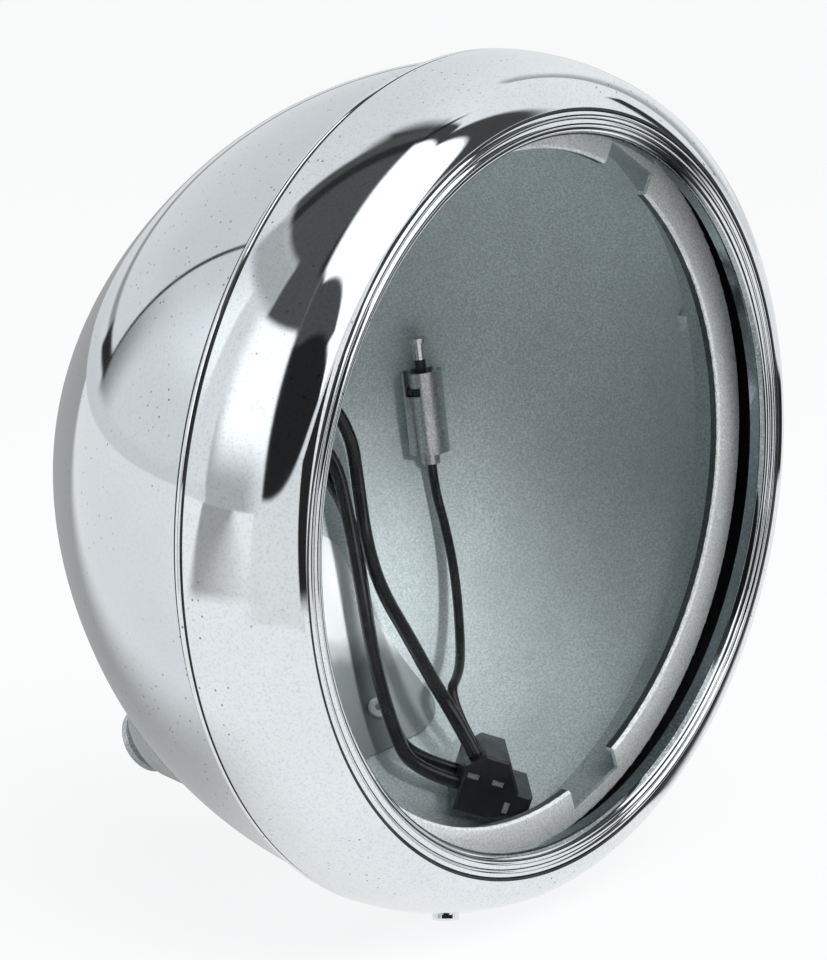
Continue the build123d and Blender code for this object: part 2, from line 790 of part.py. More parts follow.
with BuildPart() as pilot_lead:
    pilot_route = [
        pilot_plane.from_local_coords((0, 0, -barrel_neck)),
        pilot_plane.from_local_coords((0, 0, -barrel_neck - 7)),
        *in_lamp((60.5, 59.5, -28.5), (55.5, 52, -39.5), (46.5, 43, -51), (35, 33.5, -58)),
        *into_plug(slope_along, slope_height, far_row, slope_normal, 14),
    ]
    add(build_lead("pilot lead", pilot_route, pilot_lead_diameter))

# Files
os.makedirs("parts", exist_ok=True)
pieces = {
    "bowl_shell": bowl,
    "trim_ring": trim_ring,
    "lamp_ring": lamp_ring,
    "ring_screws": ring_screws,
    "ring_nuts": ring_nuts,
    "trim_clip": trim_clip,
    "trim_screw": trim_screw,
    "mount_plate": mount_plate,
    "plate_rivets": plate_rivets,
    "mount_pedestal": pedestal,
    "saddle_spacer": saddle_spacer,
    "lock_washer": lock_washer,
    "mount_bolt": mount_bolt,
    "wire_grommet": grommet,
    "plug_body": plug,
    "plug_terminals": plug_terminals,
    "pilot_barrel": pilot_barrel,
    "pilot_plunger": pilot_plunger,
    "pilot_contact": pilot_contact,
    "pilot_spring": pilot_spring,
    "low_beam_lead": low_beam_lead,
    "high_beam_lead": high_beam_lead,
    "ground_lead": ground_lead,
    "pilot_lead": pilot_lead,
}
for node, piece in pieces.items():
    piece.part.label = node
    export_step(piece.part, f"parts/{node}.step")
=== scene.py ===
import math

import bpy
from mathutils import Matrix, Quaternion, Vector


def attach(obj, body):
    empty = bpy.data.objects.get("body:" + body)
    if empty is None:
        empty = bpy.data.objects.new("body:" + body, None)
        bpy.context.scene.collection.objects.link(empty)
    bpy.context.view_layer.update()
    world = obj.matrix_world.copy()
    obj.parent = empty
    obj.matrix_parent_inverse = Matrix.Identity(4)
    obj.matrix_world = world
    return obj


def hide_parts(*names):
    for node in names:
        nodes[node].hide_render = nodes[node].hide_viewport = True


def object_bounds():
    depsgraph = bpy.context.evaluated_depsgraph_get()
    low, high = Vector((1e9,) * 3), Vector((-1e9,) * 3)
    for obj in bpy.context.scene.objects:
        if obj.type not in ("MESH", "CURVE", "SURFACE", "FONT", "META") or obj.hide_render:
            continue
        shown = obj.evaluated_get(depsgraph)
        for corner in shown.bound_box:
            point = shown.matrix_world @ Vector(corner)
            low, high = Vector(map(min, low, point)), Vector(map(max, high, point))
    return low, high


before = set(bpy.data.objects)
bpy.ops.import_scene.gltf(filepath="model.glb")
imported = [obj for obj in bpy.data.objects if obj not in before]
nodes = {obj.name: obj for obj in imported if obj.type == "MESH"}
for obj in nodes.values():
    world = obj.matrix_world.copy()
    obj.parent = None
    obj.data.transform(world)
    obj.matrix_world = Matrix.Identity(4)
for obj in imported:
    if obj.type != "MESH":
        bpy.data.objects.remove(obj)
cad_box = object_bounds()
MM = 0.001

# Lamp sizes in millimetres, the same as the solids'
BOWL_RADIUS, BOWL_WALL, RIM_FLANGE = 98.5, 1.2, 9.5
ENTRY_LEAN, SIDE_LEAN, HAUNCH_LEAN = 2.5, 33.5, 52.0
SIDE_RADIUS, HAUNCH_RADIUS = 106.0, 170.0
TRIM_WALL, TRIM_FIT, TRIM_DEPTH = 1.4, 0.35, 24.2
SEAM_BEAD, SEAM_GROOVE, SEAM_GROOVE_DEPTH = 1.7, 0.8, 0.45
TRIM_SIDE_RADIUS, TRIM_SIDE_TURN = 45.0, 25.0
LIP_ROLL, LIP_RETURN = 1.7, 4.5
BEAD_COUNT, BEAD_WIDTH, BEAD_HEIGHT, BEAD_GROOVE = 2, 1.95, 0.5, 0.4
GROMMET_NECK, SLIDE_GAP = 9.0, 0.15
MOUNT_LEAN, MOUNT_RAKE, PEDESTAL_REACH = 43.0, 30.0, 37.5


def lean(angle):
    """Direction in a side profile, angle degrees back from straight outwards."""
    return Vector((math.cos(math.radians(angle)), math.sin(math.radians(angle))))


side_centre = Vector((BOWL_RADIUS, 0)) - SIDE_RADIUS * lean(ENTRY_LEAN)
haunch_centre = side_centre + (SIDE_RADIUS - HAUNCH_RADIUS) * lean(SIDE_LEAN)
haunch_end = haunch_centre + HAUNCH_RADIUS * lean(HAUNCH_LEAN)
cap_radius = haunch_end.x / math.cos(math.radians(HAUNCH_LEAN))
cap_centre = haunch_end - cap_radius * lean(HAUNCH_LEAN)


def bowl_point(angle, depth=0.0):
    """Radius and distance behind the seam of the bowl's skin, depth under its outside."""
    if angle <= SIDE_LEAN:
        return side_centre + (SIDE_RADIUS - depth) * lean(angle)
    if angle <= HAUNCH_LEAN:
        return haunch_centre + (HAUNCH_RADIUS - depth) * lean(angle)
    return cap_centre + (cap_radius - depth) * lean(angle)


rake = math.radians(MOUNT_RAKE)
mount_axis = Vector((0, math.cos(rake), -math.sin(rake)))
seat_profile = bowl_point(MOUNT_LEAN)
seam_centre = -(Vector((0, seat_profile.y, -seat_profile.x)) + PEDESTAL_REACH * mount_axis)


def in_lamp(*points):
    """Points counted in millimetres from the lamp's centre, in metres in the part's frame."""
    return [MM * (seam_centre + Vector(point)) for point in points]


def arc(centre, radius, start, end, steps):
    """Profile points along an arc between two leans."""
    return [centre + radius * lean(start + (end - start) * i / steps) for i in range(steps + 1)]


# Camera at the photograph's angle
CAMERA_AZIMUTH, CAMERA_ELEVATION, CAMERA_ROLL, CAMERA_DISTANCE = -51.74, 11.65, 0.74, 0.75
FOCAL_PIXELS, LONG_SIDE, SENSOR = 3232.3, 960.0, 36.0
OFFSET_PIXELS = (67.9, 3.7)


def direction(azimuth, elevation):
    """Unit vector towards an azimuth, 0 in front and 90 to the right, and an elevation."""
    a, e = math.radians(azimuth), math.radians(elevation)
    return Vector((math.sin(a) * math.cos(e), -math.cos(a) * math.cos(e), math.sin(e)))


camera_data = bpy.data.cameras.new("photo_camera")
camera_data.lens = FOCAL_PIXELS / LONG_SIDE * SENSOR
camera_data.sensor_width = SENSOR
camera_data.shift_x = -OFFSET_PIXELS[0] / LONG_SIDE
camera_data.shift_y = OFFSET_PIXELS[1] / LONG_SIDE
camera_data.clip_start = 0.01
camera_data.clip_end = 50.0
camera = bpy.data.objects.new("photo_camera", camera_data)
towards_camera = direction(CAMERA_AZIMUTH, CAMERA_ELEVATION)
camera.location = MM * seam_centre + CAMERA_DISTANCE * towards_camera
upright = (-towards_camera).to_track_quat("-Z", "Y")
camera.rotation_euler = (upright @ Quaternion((0, 0, 1), math.radians(CAMERA_ROLL))).to_euler()
bpy.context.scene.collection.objects.link(camera)
bpy.context.scene.camera = camera
bpy.context.scene.view_settings.view_transform = "Standard"


# Materials
class Shade:
    """A principled material with a few helpers for its procedural nodes."""

    def __init__(self, name):
        self.material = bpy.data.materials.new(name)
        self.material.use_nodes = True
        self.tree = self.material.node_tree
        self.tree.nodes.clear()
        self.shader = self.node("ShaderNodeBsdfPrincipled")
        output = self.node("ShaderNodeOutputMaterial")
        self.link(self.shader.outputs["BSDF"], output.inputs["Surface"])
        self.coords = self.node("ShaderNodeTexCoord").outputs["Object"]

    def node(self, kind):
        return self.tree.nodes.new(kind)

    def link(self, source, target):
        self.tree.links.new(source, target)

    def set(self, **values):
        for key, value in values.items():
            self.shader.inputs[key.replace("_", " ")].default_value = value

    def noise(self, scale, detail=4.0, rough=0.55, stretch=(1, 1, 1), distort=0.0):
        mapping = self.node("ShaderNodeMapping")
        mapping.inputs["Scale"].default_value = stretch
        self.link(self.coords, mapping.inputs["Vector"])
        noise = self.node("ShaderNodeTexNoise")
        noise.inputs["Scale"].default_value = scale
        noise.inputs["Detail"].default_value = detail
        noise.inputs["Roughness"].default_value = rough
        noise.inputs["Distortion"].default_value = distort
        self.link(mapping.outputs["Vector"], noise.inputs["Vector"])
        return noise.outputs["Fac"]

    def specks(self, scale, size):
        """1 on small round specks, 0 elsewhere."""
        cells = self.node("ShaderNodeTexVoronoi")
        cells.inputs["Scale"].default_value = scale
        self.link(self.coords, cells.inputs["Vector"])
        return self.span(cells.outputs["Distance"], size, size * 0.5, 0.0, 1.0)

    def span(self, value, low, high, to_low, to_high):
        mapped = self.node("ShaderNodeMapRange")
        mapped.interpolation_type = "SMOOTHSTEP"
        mapped.inputs["From Min"].default_value = low
        mapped.inputs["From Max"].default_value = high
        mapped.inputs["To Min"].default_value = to_low
        mapped.inputs["To Max"].default_value = to_high
        self.link(value, mapped.inputs["Value"])
        return mapped.outputs["Result"]

    def multiply(self, first, second):
        product = self.node("ShaderNodeMath")
        product.operation = "MULTIPLY"
        self.link(first, product.inputs[0])
        self.link(second, product.inputs[1])
        return product.outputs["Value"]

    def blend(self, factor, first, second):
        """Colour between two colours, each a triple or a socket."""
        mix = self.node("ShaderNodeMix")
        mix.data_type = "RGBA"
        self.link(factor, mix.inputs["Factor"])
        for socket, value in ((mix.inputs[6], first), (mix.inputs[7], second)):
            if isinstance(value, tuple):
                socket.default_value = (*value, 1.0)
            else:
                self.link(value, socket)
        return mix.outputs[2]

    def colour(self, source):
        self.link(source, self.shader.inputs["Base Color"])

    def roughness(self, source):
        self.link(source, self.shader.inputs["Roughness"])

    def bump(self, source, distance, strength=1.0):
        bump = self.node("ShaderNodeBump")
        bump.inputs["Strength"].default_value = strength
        bump.inputs["Distance"].default_value = distance
        self.link(source, bump.inputs["Height"])
        self.link(bump.outputs["Normal"], self.shader.inputs["Normal"])


def make_chrome(name, bright, dull, low, high):
    """Polished plate: faint clouding, fine dust and pin-prick pits."""
    shade = Shade(name)
    shade.set(Metallic=1.0)
    cloud = shade.span(shade.noise(22.0, 5.0), 0.35, 0.7, 0.0, 1.0)
    grain = shade.span(shade.noise(1500.0, 2.0, 0.6), 0.45, 0.75, 0.0, 0.6)
    plated = shade.blend(grain, shade.blend(cloud, bright, dull), (0.62, 0.66, 0.69))
    pits = shade.multiply(shade.specks(420.0, 0.15), shade.span(shade.noise(35.0), 0.44, 0.58, 0.0, 0.95))
    shade.colour(shade.blend(pits, plated, (0.20, 0.21, 0.22)))
    shade.roughness(shade.span(shade.noise(60.0, 6.0, 0.65), 0.3, 0.75, low, high))
    shade.bump(shade.noise(38.0, 2.0), 0.00002, 0.25)
    return shade.material


def make_satin(name, light, dark, low, high, stretch, metallic=0.9):
    """Unpolished plated sheet: drawn streaks, cloudy patches and a fine tooth."""
    shade = Shade(name)
    shade.set(Metallic=metallic)
    streaks = shade.noise(46.0, 6.0, 0.6, stretch)
    patches = shade.noise(14.0, 4.0, 0.6, (1, 1, 1), 0.6)
    drawn = shade.blend(shade.span(shade.multiply(streaks, patches), 0.14, 0.4, 0.0, 1.0), light, dark)
    grain = shade.span(shade.noise(1900.0, 2.0, 0.6), 0.32, 0.68, 0.0, 0.8)
    shade.colour(shade.blend(grain, drawn, tuple(0.68 * channel for channel in dark)))
    shade.roughness(shade.span(patches, 0.3, 0.7, low, high))
    shade.bump(shade.noise(900.0, 3.0, 0.6, stretch), 0.00003, 0.35)
    return shade.material


def make_shaded_below_plate(name, light, dark, edge):
    """Bright plate with painted shade, dark below a level."""
    shade = Shade(name)
    shade.set(Metallic=0.3)
    split = shade.node("ShaderNodeSeparateXYZ")
    shade.link(shade.coords, split.inputs["Vector"])
    wander = shade.node("ShaderNodeMath")
    wander.operation = "MULTIPLY_ADD"
    wander.inputs[1].default_value = 0.012
    shade.link(shade.noise(70.0, 3.0), wander.inputs[0])
    shade.link(split.outputs["Z"], wander.inputs[2])
    shade.colour(shade.blend(shade.span(wander.outputs["Value"], edge, edge + 0.009, 0.0, 1.0), dark, light))
    shade.roughness(shade.span(shade.noise(40.0, 4.0), 0.3, 0.7, 0.16, 0.28))
    return shade.material


def make_moulded(name, light, dark, low, high, grain, depth):
    """Moulded plastic, rubber or vinyl: mottled colour, scuffs and a grained skin."""
    shade = Shade(name)
    mottle = shade.noise(120.0, 5.0, 0.6)
    scuffs = shade.noise(55.0, 6.0, 0.7, (1, 1, 3), 1.2)
    shade.colour(shade.blend(shade.span(mottle, 0.35, 0.7, 0.0, 1.0), dark, light))
    shade.roughness(shade.span(scuffs, 0.35, 0.65, low, high))
    shade.bump(shade.noise(grain, 4.0, 0.6), depth, 0.5)
    return shade.material


chrome = make_chrome("polished_chrome", (0.865, 0.90, 0.925), (0.80, 0.84, 0.865), 0.025, 0.06)
bowl_chrome = make_chrome("bowl_chrome", (0.76, 0.80, 0.825), (0.69, 0.73, 0.755), 0.03, 0.07)
# Darker chrome for the inner half of the trim's lip roll: painted shade
lip_painted_shade_chrome = make_chrome("shaded_lip", (0.34, 0.375, 0.385), (0.15, 0.17, 0.175), 0.06, 0.14)
inner_sheet = make_satin(
    "plated_sheet", (0.63, 0.715, 0.725), (0.51, 0.58, 0.588), 0.45, 0.60, (1, 1, 0.25), 0.2
)
ring_plate = make_satin(
    "ring_plate", (0.96, 0.98, 0.985), (0.84, 0.88, 0.89), 0.22, 0.34, (1, 1, 1), 0.15
)
# Darker copies of the ring's plate for its walls: painted shade
ring_side_painted_shade = make_satin(
    "ring_side_painted_shade", (0.40, 0.455, 0.465), (0.28, 0.325, 0.33), 0.35, 0.50, (1, 1, 1), 0.3
)
ring_edge_painted_shade = make_satin(
    "ring_edge_painted_shade", (0.075, 0.085, 0.087), (0.035, 0.041, 0.042), 0.25, 0.40, (1, 1, 1), 0.4
)
# The mount plate goes dark below this level: painted shade
plate_shade_level = (nodes["mount_plate"].matrix_world.inverted() @ in_lamp((0, 0, -57))[0]).z
plate_with_painted_shade = make_shaded_below_plate("plate_with_painted_shade", (0.95, 0.97, 0.98), (0.27, 0.30, 0.305), plate_shade_level)
rivet_plate = make_satin(
    "rivet_plate", (0.95, 0.97, 0.98), (0.86, 0.89, 0.90), 0.18, 0.30, (1, 1, 1), 0.2
)
cast = make_satin("cast_plate", (0.60, 0.65, 0.665), (0.46, 0.50, 0.515), 0.22, 0.36, (1, 1, 1), 0.6)
# Near-black sheet for the trim's inside and the saddle spacer: painted shade
dark_painted_shade = make_satin(
    "back_painted_shade", (0.060, 0.061, 0.063), (0.030, 0.031, 0.032), 0.5, 0.7, (1, 1, 1), 0.3
)
# Dark seam line: dirt and painted shade in the trim's seam groove, at its bead ends, in the shoulder's crease
# and on the bowl's band beside the seam
seam_dirt_and_shade = make_moulded(
    "seam_dirt_and_painted_shade", (0.030, 0.031, 0.032), (0.012, 0.012, 0.013), 0.5, 0.7, 900.0, 0.00003
)
fastener = make_satin("fastener_plate", (0.70, 0.70, 0.70), (0.52, 0.52, 0.53), 0.20, 0.34, (1, 1, 1))
socket_plate = make_satin(
    "socket_plate", (0.66, 0.67, 0.68), (0.46, 0.47, 0.48), 0.24, 0.38, (1, 1, 0.3)
)
tinned = make_satin("tinned_contact", (0.86, 0.85, 0.82), (0.70, 0.68, 0.64), 0.16, 0.28, (1, 1, 1))
plastic = make_moulded(
    "black_plastic", (0.016, 0.017, 0.018), (0.007, 0.007, 0.008), 0.26, 0.42, 1500.0, 0.00003
)
rubber = make_moulded(
    "black_rubber", (0.034, 0.034, 0.036), (0.018, 0.018, 0.019), 0.55, 0.75, 900.0, 0.00005
)
vinyl = make_moulded(
    "lead_vinyl", (0.012, 0.012, 0.013), (0.006, 0.006, 0.007), 0.20, 0.32, 700.0, 0.00003
)

NODE_MATERIALS = {
    "lamp_ring": ring_plate,
    "ring_screws": fastener,
    "ring_nuts": fastener,
    "trim_clip": fastener,
    "trim_screw": chrome,
    "mount_plate": plate_with_painted_shade,
    "plate_rivets": rivet_plate,
    "mount_pedestal": cast,
    # The spacer: near-black, painted shade
    "saddle_spacer": dark_painted_shade,
    "lock_washer": fastener,
    "mount_bolt": fastener,
    "wire_grommet": rubber,
    "plug_body": plastic,
    "plug_terminals": tinned,
    "pilot_barrel": socket_plate,
    "pilot_plunger": plastic,
    "pilot_contact": tinned,
    "pilot_spring": fastener,
}
for node, material in NODE_MATERIALS.items():
    slots = nodes[node].data.materials
    slots.clear()
    slots.append(material)

# Painted shade on the lamp ring's walls: the drum's inside and the turned inner edge take darker copies of
# its plate
RING_EDGE_RADIUS, DRUM_FACING, EDGE_FACING = 80.0, 0.7, 0.985
ring = nodes["lamp_ring"]
ring.data.materials.append(ring_side_painted_shade)
ring.data.materials.append(ring_edge_painted_shade)
for polygon in ring.data.polygons:
    place = ring.matrix_world @ polygon.center / MM - seam_centre
    facing = ring.matrix_world.to_3x3() @ polygon.normal
    inwards = -(facing.x * place.x + facing.z * place.z) / math.hypot(place.x, place.z)
    if math.hypot(place.x, place.z) > RING_EDGE_RADIUS:
        polygon.material_index = 1 if inwards > DRUM_FACING else 0
    elif inwards > EDGE_FACING:
        polygon.material_index = 2


# Turned pieces
AROUND = 320


def turn(name, loop, materials):
    """Turns a closed profile about the lamp's axis; loop holds (radius, behind, material index)."""
    count = len(loop)
    vertices = []
    for i in range(AROUND):
        a = 2 * math.pi * i / AROUND
        for radius, behind, _ in loop:
            vertices.append(MM * (seam_centre + Vector((radius * math.sin(a), behind, radius * math.cos(a)))))
    faces = []
    indices = []
    for i in range(AROUND):
        here, there = i * count, (i + 1) % AROUND * count
        for k in range(count):
            after = (k + 1) % count
            faces.append((here + k, here + after, there + after, there + k))
            indices.append(loop[k][2])
    mesh = bpy.data.meshes.new(name)
    mesh.from_pydata(vertices, [], faces)
    for material in materials:
        mesh.materials.append(material)
    mesh.polygons.foreach_set("material_index", indices)
    mesh.polygons.foreach_set("use_smooth", [True] * len(faces))
    mesh.update()
    mesh.set_sharp_from_angle(angle=math.radians(25))
    piece = bpy.data.objects.new(name, mesh)
    bpy.context.scene.collection.objects.link(piece)
    return piece


def tag(points, index):
    return [(point[0], point[1], index) for point in points]


def bowl_skin(depth, first, last, step):
    """Profile points of the bowl's skin at a depth, from one lean to another."""
    stops = [first, SIDE_LEAN, HAUNCH_LEAN, last]
    points = []
    for start, end in zip(stops, stops[1:]):
        steps = max(2, math.ceil((end - start) / step))
        points += [bowl_point(start + (end - start) * i / steps, depth) for i in range(steps)]
    return points + [bowl_point(last, depth)]


hole = GROMMET_NECK + SLIDE_GAP
hole_outside = math.degrees(math.acos(hole / cap_radius))
hole_inside = math.degrees(math.acos(hole / (cap_radius - BOWL_WALL)))
rim_inside = math.degrees(math.asin((BOWL_WALL - side_centre.y) / (SIDE_RADIUS - BOWL_WALL)))
rim_inner = BOWL_RADIUS - RIM_FLANGE
seam_leans = [
    math.degrees(math.asin((behind - side_centre.y) / SIDE_RADIUS))
    for behind in (SEAM_GROOVE + SEAM_BEAD - 0.5, SEAM_GROOVE + SEAM_BEAD + 1.9)
]
# A thin band of the bowl next to the seam bead takes the dark seam line: dirt and painted shade
bowl_loop = tag([bowl_point(ENTRY_LEAN)], 0) + tag([bowl_point(seam_leans[0])], 2)
bowl_loop += tag(bowl_skin(0, seam_leans[1], hole_outside, 1.0), 0)
bowl_loop += tag(reversed(bowl_skin(BOWL_WALL, rim_inside, hole_inside, 1.0)), 1)
bowl_loop += tag([(rim_inner, BOWL_WALL), (rim_inner, 0)], 1)
bowl_piece = turn("bowl_skin", bowl_loop, [bowl_chrome, inner_sheet, seam_dirt_and_shade])
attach(bowl_piece, "root")
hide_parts("bowl_shell")

trim_inner = BOWL_RADIUS + TRIM_FIT
trim_radius = trim_inner + TRIM_WALL
turn_sine = math.sin(math.radians(TRIM_SIDE_TURN))
shoulder_radius = (TRIM_DEPTH - TRIM_SIDE_RADIUS * turn_sine) / (1 - turn_sine)
trim_centre = Vector((trim_radius - TRIM_SIDE_RADIUS, 0))
shoulder_centre = trim_centre + (TRIM_SIDE_RADIUS - shoulder_radius) * lean(-TRIM_SIDE_TURN)
lip_radius = shoulder_centre.x - BEAD_COUNT * BEAD_WIDTH - LIP_ROLL
bead_level = BEAD_GROOVE - TRIM_DEPTH
groove_radius = trim_radius - SEAM_GROOVE_DEPTH


def bulge(width, height):
    """Radius and half angle of an arc that stands a height above a chord."""
    radius = (width**2 / 4 + height**2) / (2 * height)
    return radius, math.degrees(math.asin(width / 2 / radius))


# Trim material slots: polished chrome; dirt and painted shade in the seam groove, at the bead ends and in the
# shoulder's crease; near-black painted shade inside; darker chrome, painted shade, on the lip roll's inner
# half
POLISHED, DIRT_AND_SHADE, BACK, SHADED = 0, 1, 2, 3
seam_radius, seam_half = bulge(SEAM_BEAD, SEAM_GROOVE_DEPTH)
seam_middle = Vector((trim_radius - seam_radius, SEAM_GROOVE + SEAM_BEAD / 2))
trim_loop = tag([(trim_inner, SEAM_GROOVE + SEAM_BEAD)], DIRT_AND_SHADE)
trim_loop += tag(arc(seam_middle, seam_radius, seam_half, 0.75 * seam_half, 2)[:-1], DIRT_AND_SHADE)
trim_loop += tag(arc(seam_middle, seam_radius, 0.75 * seam_half, -0.7 * seam_half, 8)[:-1], POLISHED)
trim_loop += tag(arc(seam_middle, seam_radius, -0.7 * seam_half, -seam_half, 2), DIRT_AND_SHADE)
trim_loop += tag(arc(trim_centre, TRIM_SIDE_RADIUS, 0, -TRIM_SIDE_TURN, 28), POLISHED)
trim_loop += tag(arc(shoulder_centre, shoulder_radius, -TRIM_SIDE_TURN, -86, 34)[1:-1], POLISHED)
trim_loop += tag(arc(shoulder_centre, shoulder_radius, -86, -90, 2), DIRT_AND_SHADE)
bead_radius, bead_half = bulge(BEAD_WIDTH, BEAD_HEIGHT)
for i in range(BEAD_COUNT):
    middle = shoulder_centre.x - (i + 0.5) * BEAD_WIDTH
    bead_centre = Vector((middle, bead_level - BEAD_HEIGHT + bead_radius))
    bead = arc(bead_centre, bead_radius, bead_half - 90, -bead_half - 90, 14)
    trim_loop += tag(bead[:1], DIRT_AND_SHADE) + tag(bead[1:-2], POLISHED) + tag(bead[-2:], DIRT_AND_SHADE)
roll_centre = Vector((lip_radius + LIP_ROLL, bead_level + LIP_ROLL))
trim_loop += tag(arc(roll_centre, LIP_ROLL, -90, -120, 4)[1:-1], POLISHED)
# Inner half of the lip roll: darker chrome, painted shade
trim_loop += tag(arc(roll_centre, LIP_ROLL, -120, -180, 8), SHADED)
# The trim's inside: near-black sheet, painted shade
trim_loop += tag([(lip_radius, LIP_RETURN - TRIM_DEPTH)], BACK)
trim_loop += tag([(lip_radius + TRIM_WALL, LIP_RETURN - TRIM_DEPTH)], BACK)
trim_loop += tag([(lip_radius + TRIM_WALL, TRIM_WALL - TRIM_DEPTH)], BACK)
trim_loop += tag(arc(shoulder_centre, shoulder_radius - TRIM_WALL, -90, -TRIM_SIDE_TURN, 20), BACK)
trim_loop += tag(arc(trim_centre, TRIM_SIDE_RADIUS - TRIM_WALL, -TRIM_SIDE_TURN, 0, 16)[1:], BACK)
trim_piece = turn("trim_skin", trim_loop, [chrome, seam_dirt_and_shade, dark_painted_shade, lip_painted_shade_chrome])
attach(trim_piece, "root")
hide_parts("trim_ring")

# Leads, along the same points as their tubes
LEAD_DIAMETER, PILOT_LEAD_DIAMETER = 3.5, 2.5
LEAD_CIRCLE, GROMMET_FLANGE, SEAT_GAP = 4.4, 2.0, 0.1
LEAD_CLOCKS = {"low_beam": 45.0, "high_beam": 165.0, "ground": 285.0}
PLUG_REAR, PLUG_TOP, PLUG_FLOOR, PLUG_THICKNESS = 5.0, 4.3, -11.3, 20.5
PLUG_ENTRY_SLOPE, ENTRY_INSET = 4.0, 5.0
BARREL_NECK = 3.0
grommet_back = bowl_point(math.degrees(math.acos(GROMMET_NECK / cap_radius))).y + SEAT_GAP + GROMMET_FLANGE
plug_z = Vector((-0.742, -0.668, -0.006)).normalized()
plug_x = Vector((0.642, -0.707, -0.296))
plug_x = (plug_x - plug_x.dot(plug_z) * plug_z).normalized()
plug_y = plug_z.cross(plug_x)
plug_origin = Vector((17.2, 11.1, -76.1))
pilot_axis = Vector((-0.08, 0.095, 1)).normalized()
pilot_base = Vector((61.5, 65.5, -10.0))


def from_grommet(name, behind):
    """First two points of a lead: flush with the grommet's back, then straight out of its front."""
    a = math.radians(LEAD_CLOCKS[name])
    across, up = LEAD_CIRCLE * math.sin(a), LEAD_CIRCLE * math.cos(a)
    return [(across, grommet_back, up), (across, behind, up)]


def into_plug(along, height, across, normal, straight):
    """Last two points of a lead, which ends square on one of the plug's faces."""
    end = plug_origin + along * plug_x + height * plug_y + across * plug_z
    return [end + straight * normal, end]


slope_normal = (plug_y - plug_x) / math.sqrt(2)
slope = (PLUG_ENTRY_SLOPE / 2 - PLUG_REAR, PLUG_TOP - PLUG_ENTRY_SLOPE / 2)
rear = (-PLUG_REAR, (PLUG_TOP - PLUG_ENTRY_SLOPE + PLUG_FLOOR) / 2)
near_row, far_row = -ENTRY_INSET, ENTRY_INSET - PLUG_THICKNESS
ROUTES = {
    "low_beam": [
        *from_grommet("low_beam", 95),
        (22, 88, 10), (36, 81, 8), (42, 76, -3.6), (42.5, 74, -16), (40.5, 69.4, -30.7),
        (34.5, 59.5, -40.6), (27, 44, -49), (20, 30, -57),
        *into_plug(*slope, near_row, slope_normal, 12),
    ],
    "high_beam": [
        *from_grommet("high_beam", 97),
        (16, 91, -2.5), (31, 84, -0.5), (36.7, 76.7, -9.3), (36, 71.3, -25.1),
        (32.6, 64.6, -38.9), (27.5, 57, -51.8), (21.5, 48.5, -61), (14.5, 38, -69.5),
        *into_plug(*rear, near_row, -plug_x, 12),
    ],
    "ground": [
        *from_grommet("ground", 93),
        (12, 87, -1), (28, 84, -6), (38.5, 80, -15), (42, 75, -28), (38.5, 69, -41.5),
        (33, 61.5, -53.5), (26.5, 52.5, -63), (20, 43, -71),
        *into_plug(*rear, far_row, -plug_x, 12),
    ],
    "pilot": [
        *reversed(into_plug(*slope, far_row, slope_normal, 14)),
        (35, 33.5, -58), (46.5, 43, -51), (55.5, 52, -39.5), (60.5, 59.5, -28.5),
        pilot_base - (BARREL_NECK + 7) * pilot_axis,
        pilot_base - BARREL_NECK * pilot_axis,
    ],
}
for name, route in ROUTES.items():
    diameter = PILOT_LEAD_DIAMETER if name == "pilot" else LEAD_DIAMETER
    points = in_lamp(*route)
    curve = bpy.data.curves.new(f"{name}_flex", "CURVE")
    curve.dimensions = "3D"
    curve.resolution_u = 12
    curve.bevel_depth = MM * diameter / 2
    curve.bevel_resolution = 5
    curve.use_fill_caps = True
    spline = curve.splines.new("NURBS")
    spline.points.add(len(points) - 1)
    for control, point in zip(spline.points, points):
        control.co = (*point, 1.0)
    spline.order_u = 3
    spline.use_endpoint_u = True
    curve.materials.append(vinyl)
    lead = bpy.data.objects.new(f"{name}_flex", curve)
    bpy.context.scene.collection.objects.link(lead)
    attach(lead, "root")
    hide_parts(f"{name}_lead")

